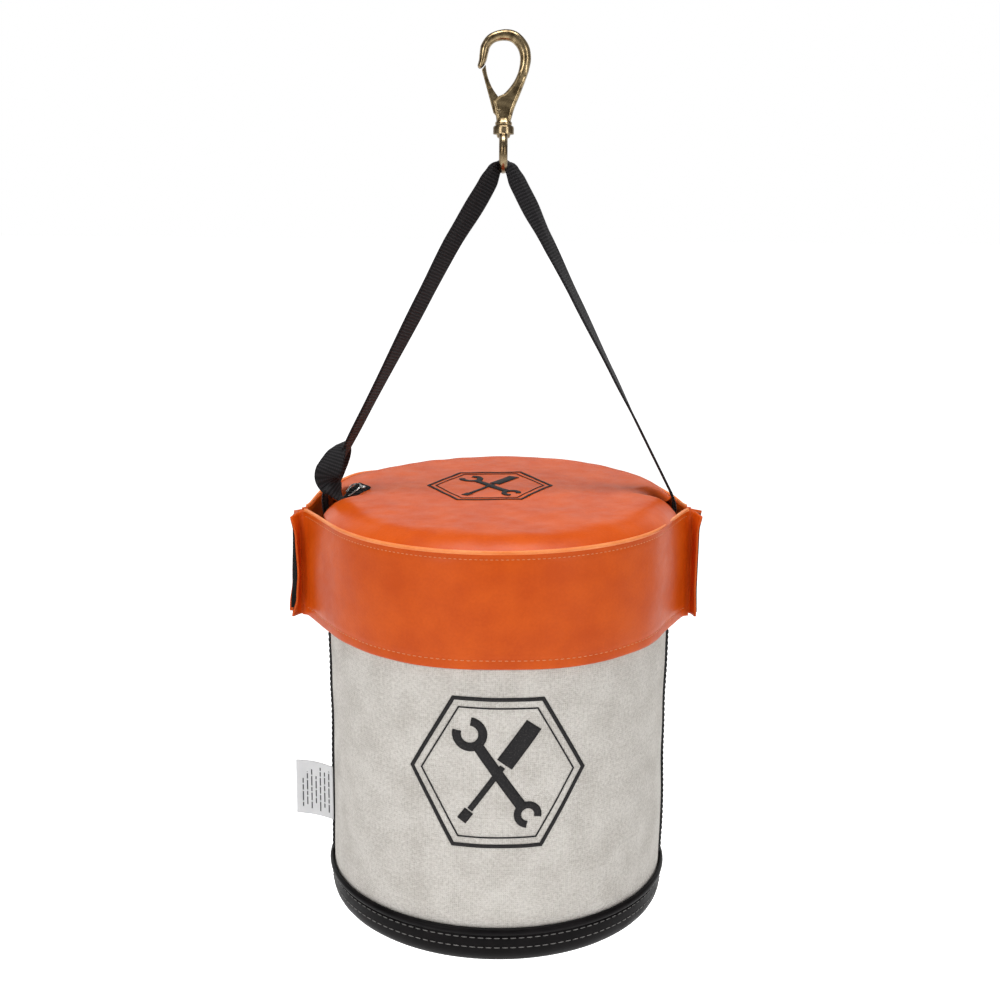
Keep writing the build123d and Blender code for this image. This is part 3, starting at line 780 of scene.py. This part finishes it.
FLAP_X = 151.5                               # hinge line of the closure flanges
FLAP_Y = 3.4


def skirt_path(face):
    """Plan points of one skirt at mid thickness, from its left flange to its right one."""
    last = asin(8.0 / LID_TIP)
    points = []
    for turn in spread(pi - last, last, 160):
        r = outline_radius(turn, LID_R - LID_T / 2)
        points.append(Vector((r * cos(turn), face * r * sin(turn), 0)))
    tip, end = Vector((LID_TIP - 2.4, face * FLAP_Y, 0)), Vector((FLAP_X, face * FLAP_Y, 0))
    tail = [bend_point(points[-1], tip, end, k / 8) for k in range(1, 9)]
    head = [Vector((-p.x, p.y, 0)) for p in reversed(tail)]
    path = head + points + tail
    for p in path:
        p.x += TIP_SHIFT[1 if p.x > 0 else -1] * ease((abs(p.x) - 105.0) / 45.0)
    return path


SEAM_DROP, HEM_DROP = 4.6, 77.0              # of the skirt's two stitched lines, below its top


def skirt_surface(face):
    path = skirt_path(face)
    lengths = [0.0]
    for a, b in zip(path, path[1:]):
        lengths.append(lengths[-1] + (b - a).length)
    normals = []
    for i in range(len(path)):
        along = heading(path, i)
        normals.append(Vector((along.y, -along.x, 0)).normalized() * -face)

    def surface(i, drop):
        """Point and normal at path point i, that far below the seam."""
        point, out = path[i], normals[i]
        free = ease(drop / SKIRT_DROP)
        ends = ease(min(lengths[i], lengths[-1] - lengths[i]) / 30.0)
        spot = Vector((lengths[i] * 0.012, face * 9.0, drop * 0.012))
        sway = 1.5 * noise.noise(spot) * free + 0.5 * noise.noise(spot * 3.0) * ease(drop / 15.0)
        drawn_in = 0.35 * exp(-((drop - HEM_DROP) / 1.6) ** 2) + 0.3 * exp(-((drop - SEAM_DROP) / 1.2) ** 2)
        belly = 1.3 * sin(pi * min(1.0, drop / SKIRT_DROP))
        spill = 0.8 * noise.noise(Vector((lengths[i] * 0.016, face * 4.0, 3.0))) * free
        rise = seam_height(point.x, point.y) - LID_SEAM
        height = LID_SEAM + rise * (1.0 - 0.4 * drop / SKIRT_DROP) - drop + spill
        return Vector((point.x, point.y, height)) + out * ((sway + belly - 0.6) * ends - drawn_in), out

    return surface, lengths


DROPS = spread(0.0, SKIRT_DROP, 60)
welt = Build()                               # the folded edge where crown and skirts are sewn together, in a paler vinyl that is a painted highlight along its ridge
for face, face_name in ((-1, "front"), (1, "back")):
    surface, lengths = skirt_surface(face)
    inner_points = range(4, len(lengths) - 4)
    skirt = Build()
    add_sheet(skirt, surface, range(len(lengths)), DROPS, SKIRT_T,
              lambda i, drop: (lengths[i], LID_SEAM - drop))
    attach(skirt.done(f"skirt_{face_name}", VINYL), "lid", "orange_vinyl", f"lid_skirt_{face_name}")
    seams = Build()
    for drop, pitch in ((SEAM_DROP, 3.6), (HEM_DROP + 0.5, 4.4)):
        line, outs = zip(*(surface(i, drop) for i in inner_points))
        seams.seam(line, outs, pitch, pitch * 0.68, 0.36, lift=0.85)
    attach(seams.done(f"skirt_stitching_{face_name}", LID_THREAD), "lid", "orange_vinyl")
    rows, uv_rows = [], []
    for i in inner_points:
        point, out = surface(i, 0.0)
        ring = []
        for k in range(10):
            turn = 2 * pi * k / 10
            ring.append(tuple(point + out * (0.7 + 1.15 * cos(turn)) + Vector((0, 0, 0.3 + 1.5 * sin(turn)))))
        rows.append(ring)
        uv_rows.append([(lengths[i], k) for k in range(11)])
    welt.tube(rows, uv_rows, 1.0)
# the welt's paler vinyl is a painted highlight along its ridge
attach(welt.done("lid_edge", VINYL_PAINTED_HIGHLIGHT), "lid", "orange_vinyl", "lid_welt")

# closure flanges with their hook-and-loop tapes, curling open at their ends
FLANGE_OUT, FLANGE_T = 11.5, 1.6
TAPE_T, TAPE_SET = 1.1, -1.35                # its thickness, and how far its middle is off the flange's
FLAP_CURL = {                                # degrees open at each drop, from a flange's top to its bottom
    ("front", "left"): [(0, 62), (20, 86), (48, 94), (68, 86), (84, 60)],
    ("back", "left"): [(0, 58), (20, 50), (60, 40), (84, 4)],
    ("front", "right"): [(0, 62), (16, 80), (60, 82), (84, 76)],
    ("back", "right"): [(0, 42), (16, 62), (68, 72), (84, 62)],
}


def flange_surface(face, side, curl_keys):
    """The surface of one flange."""
    def surface(drop, v, lift=0.0):
        """Point and normal at a drop below the flange's top, v out from its hinge line."""
        curl = radians(between(curl_keys, drop))
        point = Vector((side * FLAP_X + TIP_SHIFT[side], face * FLAP_Y,
                        LID_SEAM + LID_TILT * side * FLAP_X + 1.0 - drop))
        steps = 6
        for k in range(steps):               # the sheet turns gradually away from the hinge line
            bend = curl * ease((k + 0.5) / steps * v / 5.0 + 0.2)
            point = point + Vector((side * cos(bend), face * sin(bend), 0)) * (v / steps)
        bend = curl * ease(v / 5.0 + 0.2)
        out = Vector((-side * sin(bend), face * cos(bend), 0))
        point.z -= 3.0 * (1 - ease(drop / 12.0)) * v / FLANGE_OUT
        return point + out * lift, out

    return surface


def flange_uv(drop, v):
    return v, LID_SEAM - drop


for (face_name, side_name), curl_keys in FLAP_CURL.items():
    face, side = (-1 if face_name == "front" else 1), (-1 if side_name == "left" else 1)
    place = f"{face_name}_{side_name}"
    surface = flange_surface(face, side, curl_keys)
    sheet = Build()
    add_sheet(sheet, surface, spread(0.5, 83.0, 40), spread(-0.6, FLANGE_OUT, 10), FLANGE_T, flange_uv)
    attach(sheet.done(f"flange_sheet_{place}", VINYL), f"flap_{place}", "orange_vinyl", f"flange_{place}")
    strip = Build()
    add_sheet(strip, lambda drop, v: surface(drop, v, TAPE_SET), spread(4.0, 80.0, 30), spread(1.6, 10.0, 6),
              TAPE_T, flange_uv)
    attach(strip.done(f"tape_strip_{place}", TAPE), f"flap_{place}", "hook_loop_tape",
           f"closure_tape_{place}")

# ---------------------------------------------------------------- hook casting
HOOK_HALF_T = 4.2
PANEL_HALF_T = 3.3
# matching points on the inside and outside of the hook, from its nose round the bow to the shank
HOOK_LINES = [
    ((-16.6, -19.5), (-18.2, -19.7)), ((-14.3, -17.2), (-19.3, -17.6)), ((-12.7, -13.5), (-18.3, -13.2)),
    ((-11.6, -9.0), (-17.9, -8.8)), ((-10.2, -4.6), (-16.5, -2.2)), ((-6.5, -1.2), (-10.6, 4.7)),
    ((0.0, 0.0), (0.2, 7.9)), ((5.6, -1.3), (9.8, 5.8)), ((9.9, -6.0), (17.3, -2.2)),
    ((11.5, -12.0), (19.5, -11.5)), ((10.7, -19.8), (18.2, -20.0)), ((8.3, -26.3), (15.7, -27.5)),
    ((4.7, -31.9), (13.0, -34.6)), ((0.0, -36.9), (10.7, -40.3)), ((-4.1, -38.9), (9.2, -43.8)),
    ((-7.7, -42.2), (8.1, -46.6)), ((-6.9, -46.5), (7.1, -49.5)), ((-6.0, -51.0), (6.2, -52.8)),
    ((-5.2, -56.3), (5.2, -56.3))]
inside = curve_points([(x, 0, z - BASE) for (x, z), _ in HOOK_LINES], 8)
outside = curve_points([(x, 0, z - BASE) for _, (x, z) in HOOK_LINES], 8)
casting = Build()
rows, uv_rows = [], []
crossings = [-cos(pi * k / 24) for k in range(25)]
travelled = 0.0
for i, (a, b) in enumerate(zip(inside, outside)):
    width = (b - a).length
    web_share = ease((i / 8 - 9.4) / 2.4)    # the round bow turns into a beaded web with a sunk panel
    nose = sqrt(max(0.05, 1 - max(0.0, 1 - i / 9.0) ** 2))
    if i:
        travelled += (b - outside[i - 1]).length
    upper = []
    for c in crossings:
        bow = HOOK_HALF_T * sqrt(max(0.0, 1 - abs(c) ** 2.1))
        from_edge = (1 - abs(c)) * width / 2
        bead = HOOK_HALF_T * sqrt(max(0.0, 1 - max(0.0, 1 - from_edge / 1.1) ** 2))
        web = bead - (HOOK_HALF_T - PANEL_HALF_T) * ease((from_edge - 1.2) / 0.8)
        upper.append(((a + b) / 2 + (b - a) / 2 * c, (bow + (web - bow) * web_share) * nose))
    ring = [(p.x, -y, p.z) for p, y in upper] + [(p.x, y, p.z) for p, y in reversed(upper[1:-1])]
    rows.append(ring)
    uv_rows.append([(travelled, 0.6 * k) for k in range(len(ring) + 1)])
casting.tube(rows, uv_rows, 0.6)
FLANGE_LOW = low("hook_body").z
FLANGE_SHAPE = [(3.06, -0.55), (5.9, -0.6), (6.15, -0.2), (6.15, 1.2), (5.9, 1.7), (5.4, 1.9), (5.3, 4.0),
                (4.6, 4.5), (1.0, 4.5), (1.0, 3.8), (3.06, 3.6)]     # radius, height above FLANGE_LOW
uv_rows = [[(c * 0.6, k) for k in range(len(FLANGE_SHAPE) + 1)] for c in range(65)]
casting.grid(turned_rows([(r, FLANGE_LOW + h) for r, h in FLANGE_SHAPE], 64), uv_rows,
             close_rows=True, close_columns=True)
attach(casting.done("hook_casting", BRONZE_UV), "hook", "bronze", "hook_body")

# ---------------------------------------------------------------- strap
SLOPE = 0.518                                # of a leg: how far out for each millimetre down
BEND_R = 6.0                                 # of the fold over the swivel eye
LEG_ANGLE = atan(SLOPE)
BEND_H = STRAP_TOP - WEB_T / 2 - BEND_R      # height of the bend's centre
LEG_X = BEND_R * cos(LEG_ANGLE)
LEG_H = BEND_H + BEND_R * sin(LEG_ANGLE)
LAP_H = LEG_H - (STRAP_X - LEG_X) / SLOPE    # where a leg would meet the upright end on the wall
KNEE = 6.0                                   # the leg bends from this far below LAP_H
STRAP_END = 284.0
STRAP_T, TETHER_T = 1.8, 1.5
# (height above the base, value) keys: degrees of twist, share of full width, depth of the fold
TWIST_LEFT = [(300, 0), (322, 5), (383, 19), (476, 35), (520, 42), (547, 50), (562, 48), (571, 40),
              (575.4, 0)]
TWIST_RIGHT = [(380, 0), (419, 8), (476, 19), (520, 31), (547, 46), (562, 46), (571, 40), (575.4, 0)]
WIDTHS = [(535, 1.0), (560, 0.95), (569, 0.80), (575.4, 0.55)]
FOLDS = [(500, 0.0), (540, 1.4), (560, 2.0), (576, 0.8)]

half_path = [Vector((STRAP_X, 0, h)) for h in spread(STRAP_END, LAP_H - KNEE, 11)]
knee_from, knee_to = half_path[-1], Vector((STRAP_X - 7 * SLOPE, 0, LAP_H + 7))
half_path += [bend_point(knee_from, Vector((STRAP_X, 0, LAP_H)), knee_to, k / 7) for k in range(1, 7)]
half_path += [Vector((LEG_X + (LEG_H - h) * SLOPE, 0, h)) for h in spread(LAP_H + 7, LEG_H, 110)]
for turn in spread(LEG_ANGLE, pi / 2, 12)[1:]:
    half_path.append(Vector((BEND_R * cos(turn), 0, BEND_H + BEND_R * sin(turn))))

LEG_BOW = 3.1                                # the left leg hangs this far outside the right one's line
left_path = [Vector((-p.x - LEG_BOW * ease((560.0 - p.z) / 50.0) * ease((p.z - 312.0) / 22.0), 0, p.z))
             for p in half_path]
strap_path = left_path + list(reversed(half_path[:-1]))
acrosses, widths, folds = [], [], []
for i, point in enumerate(strap_path):
    in_plane = heading(strap_path, i).normalized().cross(Vector((0, 1, 0)))
    left = i < len(half_path)
    twist = radians(between(TWIST_LEFT if left else TWIST_RIGHT, point.z)) * (-1 if left else 1)
    acrosses.append(Vector((0, 1, 0)) * cos(twist) + in_plane * sin(twist))
    widths.append(WEB_W * between(WIDTHS, point.z))
    folds.append(-between(FOLDS, point.z))
strap_build = Build()
add_ribbon(strap_build, strap_path, acrosses, widths, STRAP_T, folds)
strap_band = strap_build.done("strap_band", WEBBING)
attach_across(strap_band, ((0, 0, metres_up(330.0)), (0, 0, metres_up(290.0))),
              "strap_loop")

# ---------------------------------------------------------------- tether
# A band comes up behind the left leg, folds over beside it, and comes down in front onto the lid.
# Each key is a point, the direction across the band, and its width.
TETHER_LOOP = [
    ((-128.0, 5.0, 329.0), (0.2, 0.9, 0.0), 12.0), ((-124.0, 11.0, 341.0), (0.5, 0.8, 0.2), 12.0),
    ((-121.5, 11.0, 355.0), (0.9, 0.4, 0.2), 12.0), ((-122.0, 3.0, 363.0), (0.9, 0.0, 0.4), 10.0),
    ((-124.5, -7.0, 359.0), (0.95, 0.0, 0.25), 14.0), ((-129.5, -13.5, 347.0), (1.0, -0.1, 0.1), 20.0),
    ((-132.0, -13.5, 339.0), (1.0, 0.1, -0.15), 19.0), ((-128.0, -11.0, 331.5), (0.75, 0.6, -0.3), 18.0)]
TETHER_TAIL = [
    ((-130.0, -12.5, 335.5), (0.9, 0.4, -0.25), 18.0), ((-125.5, -11.0, 329.8), (0.6, 0.75, -0.2), 17.5)]
for x, y, width in ((-118.5, -5.0, 16.5), (-112.5, 4.0, 15.5), (-105.5, 10.5, 15.0)):
    TETHER_TAIL.append(((x, y, crown_height(x, y) + 1.8), (-0.5, 0.84, 0.2), width))


def band_along(name, keys):
    """A short webbing band through (point, direction across, width) keys."""
    path = curve_points([key[0] for key in keys], 9)
    wishes = curve_points([key[1] for key in keys], 9)
    breadths = [v.x for v in curve_points([(key[2], 0, 0) for key in keys], 9)]
    turned_across = []
    for i, wish in enumerate(wishes):
        ahead = heading(path, i).normalized()
        turned_across.append((wish - ahead * wish.dot(ahead)).normalized())
    build = Build()
    add_ribbon(build, path, turned_across, breadths, TETHER_T, columns=10)
    return build.done(name, WEBBING)


attach_across(band_along("tether_band", TETHER_LOOP),
              ((0, 0, metres_up(350.0)), (0, 0, metres_up(331.0))), "tether_loop")
attach_across(band_along("tether_tail", TETHER_TAIL), ((-0.124, 0, 0), (-0.110, 0, 0)),
              "tether_tab")

# the clasp: a bent wire bail that lies on the end of the band, and its rivet
WIRE_R = 0.75
clasp = Build()
bail_plan = ((-120.0, 8.0), (-115.5, 10.5), (-110.5, 9.5), (-108.5, 6.5), (-110.5, 2.5), (-117.5, 0.0))
bail = curve_points([(x, y, crown_height(x, y) + 3.4) for x, y in bail_plan], 8)
rows, uv_rows = [], []
for i, point in enumerate(bail):
    ahead = heading(bail, i).normalized()
    side_way = ahead.cross(Vector((0, 0, 1))).normalized()
    up_way = side_way.cross(ahead)
    rows.append([tuple(point + (side_way * cos(turn) + up_way * sin(turn)) * WIRE_R)
                 for turn in spread(0.0, 2 * pi, 10)[:-1]])
    uv_rows.append([(i, k * 0.5) for k in range(11)])
clasp.tube(rows, uv_rows, 1.0)
RIVET_X, RIVET_Y, RIVET_R, RIVET_DOME = -106.6, 6.0, 2.1, 1.1
rivet_seat = crown_height(RIVET_X, RIVET_Y) + 2.3
rivet_profile = [(0.05, -1.4), (RIVET_R, -1.4)]
rivet_profile += [(RIVET_R * cos(t), RIVET_DOME * sin(t)) for t in spread(0.0, pi / 2, 6)[:-1]]
rivet_profile.append((0.05, RIVET_DOME))
rows, uv_rows = [], []
for r, lift in rivet_profile:
    rows.append([(RIVET_X + r * cos(turn), RIVET_Y + r * sin(turn), rivet_seat + lift)
                 for turn in spread(0.0, 2 * pi, 24)[:-1]])
    uv_rows.append([(k * 0.5, lift) for k in range(25)])
clasp.grid(rows, uv_rows, close_columns=True)
attach(clasp.done("tether_clasp", NICKEL), "lid", "nickel", "tether_snap")

# ---------------------------------------------------------------- care tag
tag_low, tag_high = low("care_tag"), high("care_tag")
TAG_W, TAG_H = tag_high.x - tag_low.x, tag_high.z - tag_low.z
TAG_Y, TAG_T = (tag_low.y + tag_high.y) / 2, 0.5


def tag_surface(u, v):
    """u runs out from the sewn edge, v up; both in millimetres."""
    share = u / TAG_W
    x = tag_high.x - u * 0.985
    y = TAG_Y + 1.8 * sin(pi * share) * (0.4 + 0.6 * v / TAG_H) + 1.2 * share
    h = tag_low.z + v + 5.5 * share + 0.9 * sin(pi * share)
    return Vector((x, y, h)), Vector((0.08 * cos(pi * share), -1, 0)).normalized()


def tag_face(way):
    """The surface that the print lies on, on the tag's front (1) or back (-1)."""
    def surface(u, v):
        point, normal = tag_surface(u, v)
        return point + normal * 0.3 * way, normal

    return surface


def flat_uv(u, v):
    return u, v


tag_build = Build()
add_sheet(tag_build, tag_surface, spread(0.0, TAG_W, 24), spread(0.0, TAG_H, 24), TAG_T, flat_uv)
tag_piece = tag_build.done("tag_sheet", TAG)
attach(tag_piece, "tag", "tag_cloth", "care_tag")

# plain printed dashes in columns, each column from one height on the tag to another
COLUMNS = ((5, 40), (8, 38), (4, 41), (10, 33), (5, 39), (8, 36), (6, 30))
COLUMN_PITCH, DASH_W, DASH_T, DASH_GAP = 3.5, 0.85, 0.12, 1.3
DASHES = (6.5, 3.5, 8.0, 4.5, 5.5)           # their lengths, taken in turn
bars = Build()
for column, (first, last) in enumerate(COLUMNS):
    dash_u = 3.2 + COLUMN_PITCH * column
    start, turn = float(first), column
    while start < last:
        length = DASHES[turn % len(DASHES)]
        dash_vs = spread(start, min(start + length, float(last)), 4)
        for way in (1, -1):
            add_sheet(bars, tag_face(way), spread(dash_u, dash_u + DASH_W, 2), dash_vs, DASH_T, flat_uv)
        start += length + DASH_GAP
        turn += 1
attach(bars.done("tag_bars", TAG_INK), "tag", "tag_cloth")


# ---------------------------------------------------------------- printed marks
def add_strip(build, line, width, place, closed=False):
    """A flat line of print along 2-D points, laid onto a surface by place(s, t, lift)."""
    ink = 0.28                               # height of the print's upper face
    dense = []
    points = line + [line[0]] if closed else line
    for (x0, y0), (x1, y1) in zip(points, points[1:]):
        steps = max(1, ceil(hypot(x1 - x0, y1 - y0) / 3.0))
        dense += [(x0 + (x1 - x0) * k / steps, y0 + (y1 - y0) * k / steps) for k in range(steps)]
    if not closed:
        dense.append(line[-1])
    rows, uv_rows = [], []
    n = len(dense)
    for i in range(n + 1 if closed else n):
        if closed:
            before, here, after = dense[(i - 1) % n], dense[i % n], dense[(i + 1) % n]
        else:
            before, here, after = dense[max(i - 1, 0)], dense[i], dense[min(i + 1, n - 1)]
        one = Vector((here[0] - before[0], here[1] - before[1]))
        two = Vector((after[0] - here[0], after[1] - here[1]))
        one = one.normalized() if one.length else two.normalized()
        two = two.normalized() if two.length else one
        side = Vector((-(one + two).y, (one + two).x)).normalized()
        reach = width / 2 / max(0.5, side.dot(Vector((-two.y, two.x))))
        a = (here[0] + side.x * reach, here[1] + side.y * reach)
        b = (here[0] - side.x * reach, here[1] - side.y * reach)
        uv_rows.append([a, here, b, b, here, a, a])
        if i < n:
            upper = [place(*spot, ink) for spot in (a, here, b)]
            rows.append(upper + [place(*spot, 0) for spot in (b, here, a)])
    if closed:
        build.grid(rows, uv_rows, close_rows=True, close_columns=True)
    else:
        build.band(rows, uv_rows, cap_uvs=((0, 0), (1, 0), (1, 1), (0, 1)))


def arc(cy, r, start, end):
    """Points round a centre at (0, cy), from one angle to another in degrees."""
    return [(r * cos(turn), cy + r * sin(turn)) for turn in spread(radians(start), radians(end), 24)]


def turned(points, angle, scale):
    c, s = cos(radians(angle)), sin(radians(angle))
    return [((x * c - y * s) * scale, (x * s + y * c) * scale) for x, y in points]


SPANNER_LEAN, DRIVER_LEAN = 35, -35          # degrees
TOOLS = (                                    # lean, line and width of each stroke, on a mark of size 60
    (SPANNER_LEAN, [(0, -30), (0, 24)], 7.5),
    (SPANNER_LEAN, arc(33, 9.0, -230, 50), 6.0),
    (SPANNER_LEAN, arc(-36, 7.0, -50, 230), 5.0),
    (DRIVER_LEAN, [(0, 8), (0, 42)], 12.0),
    (DRIVER_LEAN, [(0, -32), (0, 6)], 4.0),
    (DRIVER_LEAN, [(0, -42), (0, -33)], 7.0))


def add_mark(build, size, place):
    """A plain workshop mark: a hexagon nut outline round a crossed spanner and screwdriver."""
    hexagon = [(size * cos(radians(60 * k)), size * sin(radians(60 * k))) for k in range(6)]
    add_strip(build, hexagon, size * 0.045, place, closed=True)
    add_strip(build, [(x * 0.88, y * 0.88) for x, y in hexagon], size * 0.018, place, closed=True)
    scale = size / 60.0
    for lean, line, width in TOOLS:
        add_strip(build, turned(line, lean, scale), width * scale, place)


MARK_DROP = 155.0                            # from the canvas rim down to the middle of its mark
LID_MARK_X, LID_MARK_Y = -8.0, 14.0


def place_on_canvas(s, t, lift):
    turn = -pi / 2 + s / CANVAS_R
    return tuple(on_canvas(turn, CANVAS_HIGH - MARK_DROP + t, CLOTH_GAP + lift))


def place_on_crown(s, t, lift):
    x, y = s + LID_MARK_X, t + LID_MARK_Y
    return x, y, crown_height(x, y) + 0.15 + lift


for name, size, place, body, slot in (("canvas_mark", 64.0, place_on_canvas, "bucket", "canvas"),
                                      ("lid_mark", 48.0, place_on_crown, "lid", "orange_vinyl")):
    mark = Build()
    add_mark(mark, size, place)
    attach(mark.done(name, INK), body, slot)

# ---------------------------------------------------------------- carried-over CAD nodes
dress(("latch", "swivel_eye", "swivel_stud", "latch_pin"), BRONZE)
dress(("latch_spring",), STEEL)
dress(("rim_hoop",), HOOP)
dress(("base_board",), BOARD)

CAST_ROUNDING = {"latch": (0.35, 4), "swivel_eye": (0.4, 3)}     # voxel in millimetres, smoothing rounds
for name, (voxel, rounds) in CAST_ROUNDING.items():
    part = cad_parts[name]
    remesh = part.modifiers.new("cast_skin", "REMESH")
    remesh.mode, remesh.voxel_size, remesh.use_smooth_shade = "VOXEL", voxel * MM, True
    smooth = part.modifiers.new("cast_round", "SMOOTH")
    smooth.factor, smooth.iterations = 0.5, rounds
